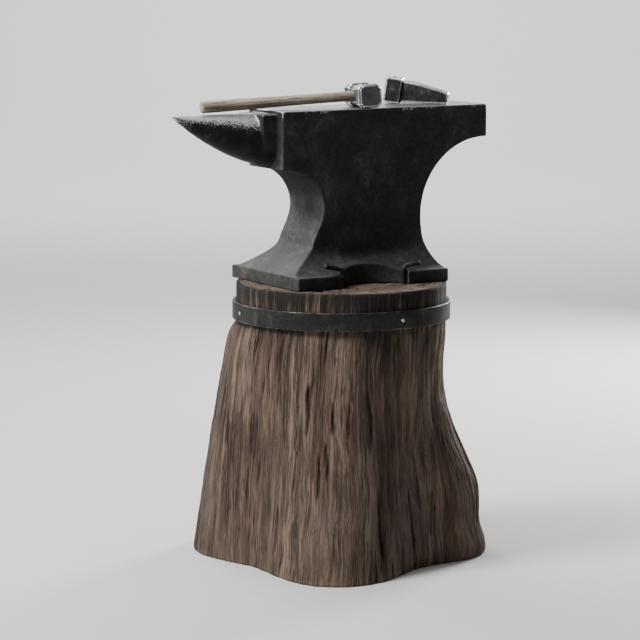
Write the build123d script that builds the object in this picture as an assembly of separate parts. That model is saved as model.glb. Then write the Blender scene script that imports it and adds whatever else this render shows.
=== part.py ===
from build123d import *
from math import atan2, cos, degrees, exp, radians, sin, sqrt
import os

# A blacksmith's anvil spiked to a tree-stump block, with a hand hammer and a loose hammer head on its face.
# Millimetres. The origin is the middle of the stump's foot on the floor, +Z is up, the horn points to -X
# and the heel to +X.

# Stump
STUMP_HEIGHT = 460.0
STUMP_TOP_RADIUS = 176.6
STUMP_CORE_FOOT_RADIUS = 160.0
TOP_ROUND_DEPTH = 65.0
TURNED_STEP = 0.6
TOP_EDGE_CHAMFER = 2.0
SECTION_DEPTHS = [65, 105, 155, 210, 250, 285, 320, 360, 410, 460]
OUTLINE_POINTS = 40

# Root flares: angle about the stump's axis, width in degrees, reach at the foot, depth where each starts
# below the top, and how suddenly it spreads.
ROOTS = [
    {"angle": -122.0, "width": 32.0, "reach": 127.0, "start": 70.0, "power": 1.5},
    {"angle": 139.0, "width": 46.0, "reach": 95.0, "start": 40.0, "power": 0.85},
    {"angle": -34.0, "width": 33.0, "reach": 82.0, "start": 170.0, "power": 1.15},
    {"angle": 58.0, "width": 36.0, "reach": 86.0, "start": 90.0, "power": 1.2},
]

# The healed branch knot, which swells the stump above the right-hand root
KNOT_ANGLE = -30.0
KNOT_WIDTH = 32.0
KNOT_DEPTH = 335.0
KNOT_HEIGHT = 75.0
KNOT_REACH = 21.0

# Iron hoop, with its ends lapped and riveted at the back
HOOP_THICKNESS = 6.6
HOOP_HEIGHT = 30.0
HOOP_TOP_DEPTH = 30.0
LAP_ANGLE = 60.0
LAP_SPREAD = 18.0
RIVET_OFFSET = 5.0
RIVET_RADIUS = 3.0
RIVET_HEAD_RADIUS = 5.5
RIVET_HEAD_HEIGHT = 3.0
NAIL_ANGLES = [-87.0, 3.0, 93.0, 173.0]
NAIL_RADIUS = 2.0
NAIL_HEAD_RADIUS = 3.6
NAIL_HEAD_HEIGHT = 1.8
NAIL_LENGTH = 45.0

# Anvil. Its own frame has its origin in the middle of the foot's underside.
ANVIL_OFFSET = (11.0, 24.0)
ANVIL_HEIGHT = 290.0
PLATE_THICKNESS = 12.0
PLATE_CHAMFER = 0.8
FACE_WIDTH = 116.0
HORN_END_X = -142.4
HEEL_END_X = 255.5
FOOT_HALF_LENGTH = 144.8
FOOT_HALF_WIDTH = 114.2
FOOT_EDGE = 21.5
THROAT_Z = 193.7
WAIST_LEFT = (-65.0, 120.0)
WAIST_LEFT_TOP = (-89.0, 178.0)
WAIST_LEFT_LOW = (-82.0, 78.0)
WAIST_RIGHT = (124.7, 107.0)
HEEL_ARC_RADIUS = 128.3
FLARE_TOP = 100.0
FLARE_START_CORNER = 90.0
FLARE_START_MIDDLE = 58.0
FLARE_MIDDLE_X = 5.0

# Notches between the feet, on both long sides
NOTCH_X = 4.0
NOTCH_HALF_WIDTH = 62.0
NOTCH_RADIUS = 85.0
NOTCH_DEEPEST_Y = 73.0

# Holes through the heel
HARDY_X = 204.0
HARDY_Y = 17.0
HARDY_SIDE = 24.0
PRITCHEL_X = 226.0
PRITCHEL_Y = 42.0
PRITCHEL_RADIUS = 6.5

# Cutting table and horn
TABLE_TOP = 285.0
TABLE_HALF_WIDTH = 42.0
TABLE_LENGTH = 28.1
HORN_TIP_X = -319.8
HORN_TOP = 286.0
HORN_TIP_RADIUS = 2.0
HORN_GROWTH = 0.817
HORN_CURVE = 0.00175
HORN_STATIONS = [5, 15, 35, 65, 100, 149.3]

# Hold-down spikes, bent over the feet
SPIKE_RADIUS = 4.0
SPIKE_DEPTH = 46.0
SPIKE_POINT = 14.0
SPIKE_BEND = 8.0
SPIKE_FRONT_ARMS = {-1: (42.0, 12.0), 1: (29.0, 8.0)}  # length and rise in degrees, horn side then heel side
SPIKE_BACK_ARM = (28.0, 8.0)
SPIKE_BEND_Z = 30.0
SPIKE_WALL_GAP = 4.7
SPIKE_Y = 106.0
SPIKE_SWING = 8.0

# Hand hammer. Its own frame has the handle along +X and the striking face towards +Y.
HAND_X = 30.0
HAND_Y = -26.6
HAND_TURN = 172.85
HAND_DROOP = 2.5
HEAD_WIDTH = 43.0
HEAD_HEIGHT = 39.0
HEAD_FACE = (34.5, 33.5)
HEAD_NECK = (38.0, 32.5)
HEAD_CORNER = 0.15
HEAD_FRONT = 31.0
HEAD_BACK = 34.0
HEAD_BEVEL = 4.0
NECK_FRONT = 15.0
NECK_BACK = 9.5
NECK_STEP = 3.0
HANDLE_REACH = 291.5
HANDLE_NECK_RADIUS = 8.8
HANDLE_WAIST_RADIUS = 8.6
HANDLE_WAIST_X = 90.0
HANDLE_END_RADIUS = 10.4
HANDLE_SWELL = 45.0
HANDLE_END_ROUND = (5.0, 1.2)
HANDLE_END_FLAT = 7.2
TONGUE_RADIUS = 7.4
TONGUE_END_X = -21.5
WEDGE_THICKNESS = 3.2
WEDGE_DEPTH = 20.0
STEEL_WEDGE_THICKNESS = 2.2
STEEL_WEDGE_WIDTH = 9.0
STEEL_WEDGE_DEPTH = 14.0

# Loose peen hammer head. Its own frame has the peen towards +X and its origin in the block's end face.
PEEN_X = 113.4
PEEN_Y = 39.7
PEEN_TURN = -37.2
PEEN_BLOCK = 43.0
PEEN_BLOCK_LENGTH = 29.0
PEEN_BEVEL = 2.0
PEEN_BODY_HEIGHT = 35.5
PEEN_BODY_DEPTH = 34.0
PEEN_SHOULDER_X = 58.0
PEEN_SHOULDER_HEIGHT = 33.0
PEEN_SHOULDER_DEPTH = 33.0
PEEN_SHOULDER_LIFT = 1.0
PEEN_TIP_HEIGHT = 19.4
PEEN_TIP_DEPTH = 30.0
PEEN_LENGTH = 108.2
PEEN_EYE_LENGTH = 14.0
PEEN_EYE_WIDTH = 24.0

CLEARANCE = 0.3


def root_growth(root, depth):
    share = max(0.0, (depth - root["start"]) / (STUMP_HEIGHT - root["start"]))
    return root["reach"] * share ** root["power"]


def bump(angle, centre, width):
    turn = (angle - centre + 180.0) % 360.0 - 180.0
    return exp(-((turn / width) ** 2))


def stump_radius(angle, depth):
    share = (depth - TOP_ROUND_DEPTH) / (STUMP_HEIGHT - TOP_ROUND_DEPTH)
    radius = STUMP_TOP_RADIUS - TURNED_STEP + (STUMP_CORE_FOOT_RADIUS - STUMP_TOP_RADIUS) * share
    if depth <= TOP_ROUND_DEPTH:
        return radius
    for root in ROOTS:
        radius += root_growth(root, depth) * bump(angle, root["angle"], root["width"])
    swell = exp(-(((depth - KNOT_DEPTH) / KNOT_HEIGHT) ** 2))
    return radius + KNOT_REACH * swell * bump(angle, KNOT_ANGLE, KNOT_WIDTH)


def stump_section(depth):
    points = []
    for i in range(OUTLINE_POINTS):
        angle = 360.0 * i / OUTLINE_POINTS
        radius = stump_radius(angle, depth)
        points.append((radius * cos(radians(angle)), radius * sin(radians(angle)), STUMP_HEIGHT - depth))
    return make_face(Spline(points, periodic=True))


def make_stump(pins):
    """The lofted root flares, under a top dressed round for the hoop and drilled for the pins."""
    sections = [stump_section(depth) for depth in reversed(SECTION_DEPTHS)]
    top = Pos(0, 0, STUMP_HEIGHT - TOP_ROUND_DEPTH) * Cylinder(
        STUMP_TOP_RADIUS, TOP_ROUND_DEPTH, align=(Align.CENTER, Align.CENTER, Align.MIN)
    )
    top = chamfer(top.edges().sort_by(Axis.Z)[-1], TOP_EDGE_CHAMFER)
    return (top - pins) + loft(sections)


def ring_sector(inner, outer, start, spread, height):
    plan = make_face(
        [
            CenterArc((0, 0), outer, start, spread),
            Line(polar(outer, start + spread), polar(inner, start + spread)),
            CenterArc((0, 0), inner, start, spread),
            Line(polar(inner, start), polar(outer, start)),
        ]
    )
    return extrude(plan, height)


def polar(radius, angle):
    return (radius * cos(radians(angle)), radius * sin(radians(angle)))


def make_hoop():
    outer = STUMP_TOP_RADIUS + HOOP_THICKNESS
    ring = extrude(Circle(outer) - Circle(STUMP_TOP_RADIUS), HOOP_HEIGHT)
    lap = ring_sector(outer, outer + HOOP_THICKNESS, LAP_ANGLE - LAP_SPREAD / 2, LAP_SPREAD, HOOP_HEIGHT)
    return Pos(0, 0, STUMP_HEIGHT - HOOP_TOP_DEPTH - HOOP_HEIGHT) * (ring + lap)


def domed_pin(shank_radius, length, head_radius, head_height):
    """A pin along -X with a domed head on +X, whose underside is at X = 0."""
    shank = [(0, head_radius), (0, shank_radius), (-length, shank_radius), (-length, 0), (head_height, 0)]
    dome = ThreePointArc((head_height, 0), (0.8 * head_height, 0.5 * head_radius), (0, head_radius))
    return revolve(Plane.XZ * make_face([Polyline(*shank), dome]), Axis.X)


def on_hoop(pin, angle, radius):
    middle = STUMP_HEIGHT - HOOP_TOP_DEPTH - HOOP_HEIGHT / 2
    return Pos(0, 0, middle) * Rot(0, 0, angle) * Pos(radius, 0, 0) * pin


def make_nails():
    nail = domed_pin(NAIL_RADIUS, NAIL_LENGTH, NAIL_HEAD_RADIUS, NAIL_HEAD_HEIGHT)
    return [on_hoop(nail, angle, STUMP_TOP_RADIUS + HOOP_THICKNESS) for angle in NAIL_ANGLES]


def make_rivets():
    rivet = domed_pin(RIVET_RADIUS, 2 * HOOP_THICKNESS, RIVET_HEAD_RADIUS, RIVET_HEAD_HEIGHT)
    outside = STUMP_TOP_RADIUS + 2 * HOOP_THICKNESS
    return [on_hoop(rivet, LAP_ANGLE + side * RIVET_OFFSET, outside) for side in (-1, 1)]


def flare_section(x):
    """The anvil's cross-section below FLARE_TOP, where the sides sweep out to the foot."""
    share = min(1.0, abs(x - FLARE_MIDDLE_X) / FOOT_HALF_LENGTH)
    start = FLARE_START_MIDDLE + (FLARE_START_CORNER - FLARE_START_MIDDLE) * share**1.5
    half = FACE_WIDTH / 2
    rise = start - FOOT_EDGE
    sweep = [
        (FOOT_HALF_WIDTH - (FOOT_HALF_WIDTH - half) * cos(radians(turn)), start - rise * sin(radians(turn)))
        for turn in (0, 30, 60, 90)
    ]
    right = Spline(sweep, tangents=[(0, -1), (1, 0)])
    left = Spline([(-y, z) for y, z in reversed(sweep)], tangents=[(1, 0), (0, 1)])
    edges = [
        right,
        Polyline((FOOT_HALF_WIDTH, FOOT_EDGE), (FOOT_HALF_WIDTH, 0), (-FOOT_HALF_WIDTH, 0)),
        Line((-FOOT_HALF_WIDTH, 0), (-FOOT_HALF_WIDTH, FOOT_EDGE)),
        left,
        Polyline((-half, start), (-half, FLARE_TOP), (half, FLARE_TOP), (half, start)),
    ]
    return Plane.YZ.offset(x) * make_face(edges)


def side_profile():
    """The anvil's outline seen from the side, without its steel face plate."""
    top = ANVIL_HEIGHT - PLATE_THICKNESS
    heel_run = HEEL_END_X - WAIST_RIGHT[0] - HEEL_ARC_RADIUS
    heel_z = WAIST_RIGHT[1] + sqrt(HEEL_ARC_RADIUS**2 - heel_run**2)
    heel_middle = (
        WAIST_RIGHT[0] + HEEL_ARC_RADIUS * (1 - cos(radians(45))),
        WAIST_RIGHT[1] + HEEL_ARC_RADIUS * sin(radians(45)),
    )
    throat_top = (HORN_END_X, THROAT_Z)
    left_corner = (-FOOT_HALF_LENGTH, FOOT_EDGE)
    right_corner = (FOOT_HALF_LENGTH, FOOT_EDGE)
    throat = Spline(
        [throat_top, WAIST_LEFT_TOP, WAIST_LEFT, WAIST_LEFT_LOW, left_corner],
        tangents=[(1, 0), (-0.85, -0.52)],
    )
    edges = [
        Polyline((HEEL_END_X, heel_z), (HEEL_END_X, top), (HORN_END_X, top), throat_top),
        throat,
        Polyline(left_corner, (-FOOT_HALF_LENGTH, 0), (FOOT_HALF_LENGTH, 0), right_corner),
        TangentArc(WAIST_RIGHT, right_corner, tangent=(0, -1)),
        ThreePointArc(WAIST_RIGHT, heel_middle, (HEEL_END_X, heel_z)),
    ]
    return Plane.XZ * make_face(edges)


def notch_cutter():
    centre_y = NOTCH_DEEPEST_Y + NOTCH_RADIUS
    end_y = centre_y - sqrt(NOTCH_RADIUS**2 - NOTCH_HALF_WIDTH**2)
    outside = FOOT_HALF_WIDTH + 2
    left = NOTCH_X - NOTCH_HALF_WIDTH
    right = NOTCH_X + NOTCH_HALF_WIDTH
    plan = make_face(
        [
            ThreePointArc((left, -end_y), (NOTCH_X, -NOTCH_DEEPEST_Y), (right, -end_y)),
            Polyline((right, -end_y), (right, -outside), (left, -outside), (left, -end_y)),
        ]
    )
    return extrude(plan, FLARE_TOP)


def heel_holes():
    hardy = Pos(HARDY_X, HARDY_Y, FLARE_TOP) * Box(
        HARDY_SIDE, HARDY_SIDE, ANVIL_HEIGHT, align=(Align.CENTER, Align.CENTER, Align.MIN)
    )
    pritchel = Pos(PRITCHEL_X, PRITCHEL_Y, FLARE_TOP) * Cylinder(
        PRITCHEL_RADIUS, ANVIL_HEIGHT, align=(Align.CENTER, Align.CENTER, Align.MIN)
    )
    return [hardy, pritchel]


def make_anvil_body():
    side = extrude(side_profile(), FOOT_HALF_WIDTH, both=True)
    stations = (-FOOT_HALF_LENGTH, -70, FLARE_MIDDLE_X, 75, FOOT_HALF_LENGTH)
    flare = loft([flare_section(x) for x in stations])
    upper = Pos(0, 0, FLARE_TOP) * Box(
        2 * HEEL_END_X, FACE_WIDTH, ANVIL_HEIGHT, align=(Align.CENTER, Align.CENTER, Align.MIN)
    )
    notch = notch_cutter()
    body = side & (flare + upper)
    return body - notch - mirror(notch, Plane.XZ) - heel_holes()


def make_face_plate():
    plate = Pos((HORN_END_X + HEEL_END_X) / 2, 0, ANVIL_HEIGHT - PLATE_THICKNESS) * Box(
        HEEL_END_X - HORN_END_X,
        FACE_WIDTH,
        PLATE_THICKNESS,
        align=(Align.CENTER, Align.CENTER, Align.MIN),
    )
    plate = chamfer(plate.faces().sort_by(Axis.Z)[-1].edges(), PLATE_CHAMFER)
    return plate - heel_holes()


def table_section(x, top, bottom, half):
    edges = [
        ThreePointArc((-half, bottom + half), (0, bottom), (half, bottom + half)),
        Polyline((half, bottom + half), (half, top), (-half, top), (-half, bottom + half)),
    ]
    return Plane.YZ.offset(x) * make_face(edges)


def horn_depth(reach):
    return HORN_GROWTH * reach - HORN_CURVE * reach**2


def make_cutting_table():
    outer_x = HORN_END_X - TABLE_LENGTH
    root_bottom = HORN_TOP - horn_depth(outer_x - HORN_TIP_X)
    outer = table_section(outer_x, TABLE_TOP, root_bottom, TABLE_HALF_WIDTH)
    inner = table_section(HORN_END_X, TABLE_TOP, THROAT_Z + 1, TABLE_HALF_WIDTH)
    return loft([outer, inner])


def make_horn():
    sections = []
    for reach in reversed(HORN_STATIONS):
        radius = horn_depth(reach) / 2
        centre = HORN_TOP - radius
        sections.append(Plane.YZ.offset(HORN_TIP_X + reach) * Pos(0, centre) * Circle(radius))
    cone = loft(sections)
    tip_radius = horn_depth(HORN_STATIONS[0]) / 2
    tip = Pos(HORN_TIP_X + HORN_STATIONS[0], 0, HORN_TOP - tip_radius) * Sphere(tip_radius)
    return cone + tip


def make_spike(x_side, y_side):
    """A spike in a notch's corner, in the anvil's frame: x_side is -1 by the horn, y_side is -1 in front."""
    x = NOTCH_X + x_side * (NOTCH_HALF_WIDTH - SPIKE_WALL_GAP)
    y = y_side * SPIKE_Y
    length, rise = SPIKE_FRONT_ARMS[x_side] if y_side < 0 else SPIKE_BACK_ARM
    reach = length * cos(radians(rise))
    arm_end = (
        x + x_side * reach * cos(radians(SPIKE_SWING)),
        y + y_side * reach * sin(radians(SPIKE_SWING)),
        SPIKE_BEND_Z + length * sin(radians(rise)),
    )
    path = FilletPolyline((x, y, -SPIKE_DEPTH), (x, y, SPIKE_BEND_Z), arm_end, radius=SPIKE_BEND)
    rod = sweep(Plane((x, y, -SPIKE_DEPTH), z_dir=(0, 0, 1)) * Circle(SPIKE_RADIUS), path)
    point = Pos(x, y, -SPIKE_DEPTH - SPIKE_POINT / 2) * Cone(0.6, SPIKE_RADIUS, SPIKE_POINT)
    return rod + point


def make_spikes():
    return {
        f"spike_{y_name}_{x_name}_side": on_anvil() * make_spike(x_side, y_side)
        for y_name, y_side in (("front", -1), ("back", 1))
        for x_name, x_side in (("horn", -1), ("heel", 1))
    }


def cornered_square(width, depth, corner):
    square = Rectangle(width, depth)
    return chamfer(square.vertices(), corner)


def make_hammer_head():
    """A short octagonal head along Y, with its waisted neck round the eye."""
    block = (HEAD_WIDTH, HEAD_HEIGHT)
    stations = [
        (HEAD_FRONT, HEAD_FACE),
        (HEAD_FRONT - HEAD_BEVEL, block),
        (NECK_FRONT + NECK_STEP, block),
        (NECK_FRONT, HEAD_NECK),
        (-NECK_BACK, HEAD_NECK),
        (-NECK_BACK - NECK_STEP, block),
        (HEAD_BEVEL - HEAD_BACK, block),
        (-HEAD_BACK, HEAD_FACE),
    ]
    sections = [
        Plane.XZ.offset(-y) * cornered_square(width, height, HEAD_CORNER * width)
        for y, (width, height) in stations
    ]
    return loft(sections, ruled=True)


def make_handle():
    """A turned handle along +X that swells to a rounded end, with a round tongue through the head's eye."""
    neck = (HEAD_NECK[0] / 2, HANDLE_NECK_RADIUS)
    waist = (HANDLE_WAIST_X, HANDLE_WAIST_RADIUS)
    swell = (HANDLE_REACH - HANDLE_SWELL, HANDLE_END_RADIUS)
    shoulder = (HANDLE_REACH - HANDLE_END_ROUND[0], HANDLE_END_RADIUS)
    end_edge = (HANDLE_REACH - HANDLE_END_ROUND[1], HANDLE_END_FLAT)
    end = (HANDLE_REACH, 0)
    tongue = [(TONGUE_END_X, 0), (TONGUE_END_X, TONGUE_RADIUS), (neck[0], TONGUE_RADIUS)]
    outline = [
        Polyline(*tongue, neck),
        Spline([neck, waist, swell, shoulder]),
        Spline([shoulder, end_edge, end], tangents=[(1, 0), (0, -1)]),
        Line(end, tongue[0]),
    ]
    return revolve(Plane.XZ * make_face(outline), Axis.X)


def wedge_in_tongue(thickness, width, depth):
    """A wedge driven along +X into the tongue's end, thick at its outer end."""
    start = TONGUE_END_X
    outline = Polyline((start, -thickness / 2), (start + depth, 0), (start, thickness / 2), close=True)
    return extrude(make_face(outline), width / 2, both=True)


def hand_hammer():
    flat_half = HEAD_WIDTH / 2 - HEAD_CORNER * HEAD_WIDTH
    droop = radians(HAND_DROOP)
    height = ANVIL_HEIGHT + CLEARANCE + HEAD_HEIGHT / 2 * cos(droop) + flat_half * sin(droop)
    place = on_anvil() * Pos(HAND_X, HAND_Y, height) * Rot(0, 0, HAND_TURN) * Rot(0, HAND_DROOP, 0)
    handle = make_handle()
    eye = Rot(0, 90, 0) * Cylinder(TONGUE_RADIUS, 2 * HEAD_WIDTH)
    wood_wedge = wedge_in_tongue(WEDGE_THICKNESS, 2 * TONGUE_RADIUS, WEDGE_DEPTH) & eye
    steel_wedge = Rot(90, 0, 0) * wedge_in_tongue(
        STEEL_WEDGE_THICKNESS, STEEL_WEDGE_WIDTH, STEEL_WEDGE_DEPTH
    )
    wood_wedge = wood_wedge - steel_wedge
    return {
        "hammer_head": place * (make_hammer_head() - eye),
        "hammer_handle": place * (handle - wood_wedge - steel_wedge),
        "hammer_wood_wedge": place * wood_wedge,
        "hammer_steel_wedge": place * steel_wedge,
    }


def make_peen_head():
    """A square block with an eye, and behind it a body that tapers to a blunt peen."""
    bevel = PEEN_BEVEL
    block = PEEN_BLOCK
    stations = [
        (0, block - 2 * bevel, block - 2 * bevel, 0),
        (bevel, block, block, 0),
        (PEEN_BLOCK_LENGTH - bevel, block, block, 0),
        (PEEN_BLOCK_LENGTH, PEEN_BODY_DEPTH, PEEN_BODY_HEIGHT, 0),
        (PEEN_SHOULDER_X, PEEN_SHOULDER_DEPTH, PEEN_SHOULDER_HEIGHT, PEEN_SHOULDER_LIFT),
        (PEEN_LENGTH - bevel, PEEN_TIP_DEPTH, PEEN_TIP_HEIGHT, 0),
        (PEEN_LENGTH, PEEN_TIP_DEPTH - 2 * bevel, PEEN_TIP_HEIGHT - 2 * bevel, 0),
    ]
    sections = [
        Plane.YZ.offset(x) * Pos(0, lift, 0) * cornered_square(depth, height, bevel)
        for x, depth, height, lift in stations
    ]
    head = loft(sections, ruled=True)
    eye = Pos(PEEN_BLOCK_LENGTH / 2, 0, 0) * extrude(
        Ellipse(PEEN_EYE_LENGTH / 2, PEEN_EYE_WIDTH / 2), PEEN_BLOCK, both=True
    )
    return head - eye


def loose_peen_head():
    block_low = (PEEN_BLOCK_LENGTH - PEEN_BEVEL, PEEN_BLOCK / 2)
    tip_low = (PEEN_LENGTH - PEEN_BEVEL, PEEN_TIP_HEIGHT / 2)
    tilt = atan2(block_low[1] - tip_low[1], tip_low[0] - block_low[0])
    drop = block_low[0] * sin(tilt) + block_low[1] * cos(tilt)
    height = ANVIL_HEIGHT + CLEARANCE + drop
    place = on_anvil() * Pos(PEEN_X, PEEN_Y, height) * Rot(0, 0, PEEN_TURN) * Rot(0, degrees(tilt), 0)
    return place * make_peen_head()


def on_anvil():
    return Pos(ANVIL_OFFSET[0], ANVIL_OFFSET[1], STUMP_HEIGHT)


def make_parts():
    nails = make_nails()
    rivets = make_rivets()
    spikes = make_spikes()
    parts = {
        "stump": make_stump(nails + list(spikes.values())),
        "hoop": make_hoop() - nails - rivets,
        "anvil_body": on_anvil() * make_anvil_body(),
        "face_plate": on_anvil() * make_face_plate(),
        "cutting_table": on_anvil() * make_cutting_table(),
        "horn": on_anvil() * make_horn(),
        "peen_hammer_head": loose_peen_head(),
    }
    parts.update(spikes)
    parts.update(hand_hammer())
    for number, nail in enumerate(nails, 1):
        parts[f"hoop_nail_{number}"] = nail
    for number, rivet in enumerate(rivets, 1):
        parts[f"hoop_rivet_{number}"] = rivet
    return parts


os.makedirs("parts", exist_ok=True)
for name, solid in make_parts().items():
    export_step(solid, f"parts/{name}.step")
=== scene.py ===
from itertools import product
from math import cos, pi, radians, sin

import bmesh
import bpy
import numpy as np
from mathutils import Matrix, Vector
from mathutils.bvhtree import BVHTree


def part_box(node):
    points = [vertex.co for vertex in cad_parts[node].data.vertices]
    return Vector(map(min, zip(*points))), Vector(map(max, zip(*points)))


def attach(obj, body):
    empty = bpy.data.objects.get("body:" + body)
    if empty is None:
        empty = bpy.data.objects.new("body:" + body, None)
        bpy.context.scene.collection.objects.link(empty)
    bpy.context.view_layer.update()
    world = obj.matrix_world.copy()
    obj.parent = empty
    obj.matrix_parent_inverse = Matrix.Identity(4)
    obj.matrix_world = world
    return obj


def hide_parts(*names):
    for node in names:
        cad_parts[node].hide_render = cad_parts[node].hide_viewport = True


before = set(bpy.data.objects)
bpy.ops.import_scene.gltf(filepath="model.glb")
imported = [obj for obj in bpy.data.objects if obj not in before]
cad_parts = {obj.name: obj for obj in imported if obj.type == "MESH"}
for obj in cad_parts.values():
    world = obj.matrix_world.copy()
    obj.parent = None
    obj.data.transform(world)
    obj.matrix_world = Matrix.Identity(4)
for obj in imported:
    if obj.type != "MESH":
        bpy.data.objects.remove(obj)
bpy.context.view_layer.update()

MM = 0.001
STUMP_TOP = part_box("stump")[1].z

# The camera sees the photographed side from the horn's end, a little above the horizon. Its angles are in
# degrees, its distance in metres, and its lens and sensor in millimetres.
CAMERA_AZIMUTH = 30.02
CAMERA_PITCH = 8.02
CAMERA_DISTANCE = 5.109
CAMERA_LENS = 170.1
CAMERA_SENSOR = 36.0
CAMERA_TARGET = Vector((-0.0178, 0.0406, 0.3902))
BACKDROP_POINT = Vector((4.5, 7.8, 0.2))
WORLD_COLOR = (0.78, 0.80, 0.82, 1)
WORLD_STRENGTH = 0.16

# The soft square lights: azimuth and elevation in degrees, distance and size in metres, power in watts, and
# target. Azimuth 0 is on the camera's side, and it grows clockwise seen from above.
LIGHTS = {
    "left_key": (62, 46, 2.6, 0.9, 125, CAMERA_TARGET),
    "top_light": (20, 84, 2.4, 1.0, 14, CAMERA_TARGET),
    "back_light": (150, 42, 3.0, 1.6, 70, CAMERA_TARGET),
    "right_rim": (-148, 16, 2.8, 0.7, 115, CAMERA_TARGET),
    "backdrop_light": (0, 55, 5.0, 5.0, 620, BACKDROP_POINT),
}

# The floor runs from its front to where it starts to sweep up into the backdrop
FLOOR_HALF_WIDTH = 30.0
FLOOR_FRONT = -30.0
SWEEP_START = 7.0
SWEEP_RADIUS = 3.0
SWEEP_STEPS = 12
BACKDROP_TOP = 9.0

# Each easing pass moves a vertex toward its neighbours' mean, and then part of the way back
EASING_STEP = 0.6
SWELLING_STEP = 0.3

# How far a vertex stands out of its neighbours, in voxels, where wear or a hollow begins and where it is full
EDGE_BEND = (0.03, 0.10)
CORNER_BEND = (0.03, 0.12)
BEND_PASSES = 4
CHIP_SIZE = 9 * MM
CUT_TOLERANCE = 1e-6

# The anvil's wear, and its painted light and shade. The tip's distances are from the horn's end, and the
# next two go down from the face. The waist's, where painted shade on the sides turns into painted light, and
# the table's go down from the plate's underside, and the foot's go up from the stump. In each pair, the
# change starts at the first and is complete at the second.
TIP_BLUNTED = 25 * MM
TIP_POLISHED = (75 * MM, 8 * MM)
TIP_GAP = 0.5 * MM
TOP_SKIN = 1.5 * MM
KNOCKED_EDGE = 9 * MM
WAIST_SHADE_TO_LIGHT = (30 * MM, 110 * MM)
TABLE_SIDE = 100 * MM
FOOT_LEVEL = (55 * MM, 35 * MM)

# The stump's mesh, its turned top, its foot and its sawn end
STUMP_COLUMNS = 760
STUMP_ROWS = 112
TOP_RINGS = 16
RADIUS_PASSES = 12
SAWN_EDGE = 3 * MM
FOOT_EDGE = 5 * MM
TURNED_TOP = 65 * MM
TURNED_FADE = 13 * MM
SOOTY_BAND = (34 * MM, 2 * MM)
# A painted highlight along the foot's bottom edge: the height where it starts and where it is full
FOOT_EDGE_HIGHLIGHT = (10 * MM, 2 * MM)
SAWN_RADIUS = 175 * MM
RING_CROWDING = 1.15
RINGS_PER_METRE = 420

# The fibres: how far they follow the roots, the radius their pattern is laid on, and its scale along them
ROOT_PULL = 0.5
FLOW_PASSES = 40
GRAIN_RADIUS = 190 * MM
GRAIN_LENGTH = 0.055
HANDLE_GRAIN_LENGTH = 0.025
KNOT_SQUASH = 0.55

# Places on the stump's side: the angle in degrees, the height and a size, in metres
KNOTS = [
    (-71.0, 0.195, 0.024),
    (-154.5, 0.200, 0.009),
    (75.0, 0.240, 0.022),
    (148.0, 0.320, 0.012),
    (14.0, 0.130, 0.015),
]
SCARS = [
    (-122.5, 0.352, 0.020),
    (-123.0, 0.128, 0.020),
    (-174.5, 0.290, 0.018),
    (-174.0, 0.058, 0.020),
    (-40.0, 0.330, 0.016),
    (40.0, 0.300, 0.020),
    (112.0, 0.150, 0.022),
]
SPLITS = [
    (-137.0, 0.268, 0.052),
    (-124.0, 0.258, 0.032),
    (-126.5, 0.190, 0.036),
    (-130.0, 0.160, 0.050),
    (-106.0, 0.250, 0.060),
    (-104.0, 0.090, 0.070),
    (-150.0, 0.075, 0.045),
    (170.0, 0.200, 0.060),
    (60.0, 0.110, 0.070),
    (-15.0, 0.300, 0.045),
    (105.0, 0.300, 0.060),
]
RIBBED_SIDE = (-22.0, 0.200, 0.075)
# Painted shade down two valleys of the side: the angle, the height and a size, as above
LONG_VALLEY_SHADE = (-104.0, 0.150, 0.022)
TOP_VALLEY_SHADE = (-95.0, 0.380, 0.020)


# ---------------------------------------------------------------- noise and mesh helpers


def noise_tables(seed):
    random = np.random.default_rng(seed)
    order = random.permutation(256)
    slopes = random.normal(size=(256, 3))
    return order, slopes / np.linalg.norm(slopes, axis=1, keepdims=True)


ORDER, SLOPES = noise_tables(seed=11)


def smooth_noise(points, seed):
    """Gradient noise, about -1 to 1, at each row of points."""
    cell = np.floor(points).astype(int)
    local = points - cell
    fade = local**3 * (local * (local * 6 - 15) + 10)
    total = np.zeros(len(points))
    for corner in product((0, 1), repeat=3):
        x, y, z = (cell + corner).T
        slope = SLOPES[ORDER[(ORDER[(ORDER[(x + seed) % 256] + y) % 256] + z) % 256]]
        weight = np.prod(np.where(corner, fade, 1 - fade), axis=1)
        total += weight * np.sum(slope * (local - corner), axis=1)
    return 1.5 * total


def layered_noise(points, layers, seed):
    """Smooth noise with finer and weaker layers on top."""
    total = np.zeros(len(points))
    for layer in range(layers):
        total += smooth_noise(points * 2**layer, seed + 7 * layer) / 2**layer
    return total / 1.5


def ramp(values, low, high):
    """0 below low, 1 above high, and smooth between."""
    share = np.clip((values - low) / (high - low), 0, 1)
    return share * share * (3 - 2 * share)


def bell(distance):
    """1 at distance 0, and almost 0 from 2 on."""
    return np.exp(-(distance**2))


def coordinates(mesh):
    flat = np.empty(3 * len(mesh.vertices))
    mesh.vertices.foreach_get("co", flat)
    return flat.reshape(-1, 3)


def set_coordinates(mesh, points):
    mesh.vertices.foreach_set("co", np.asarray(points, float).ravel())
    mesh.update()


def normals(mesh):
    flat = np.empty(3 * len(mesh.vertices))
    mesh.vertex_normals.foreach_get("vector", flat)
    return flat.reshape(-1, 3)


def set_value(mesh, name, values):
    layer = mesh.attributes.get(name) or mesh.attributes.new(name, "FLOAT", "POINT")
    layer.data.foreach_set("value", np.asarray(values, np.float32))


def values_of(mesh, name):
    values = np.empty(len(mesh.vertices), np.float32)
    mesh.attributes[name].data.foreach_get("value", values)
    return values


def set_vector(mesh, name, values):
    layer = mesh.attributes.new(name, "FLOAT_VECTOR", "POINT")
    layer.data.foreach_set("vector", np.asarray(values, np.float32).ravel())


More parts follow.
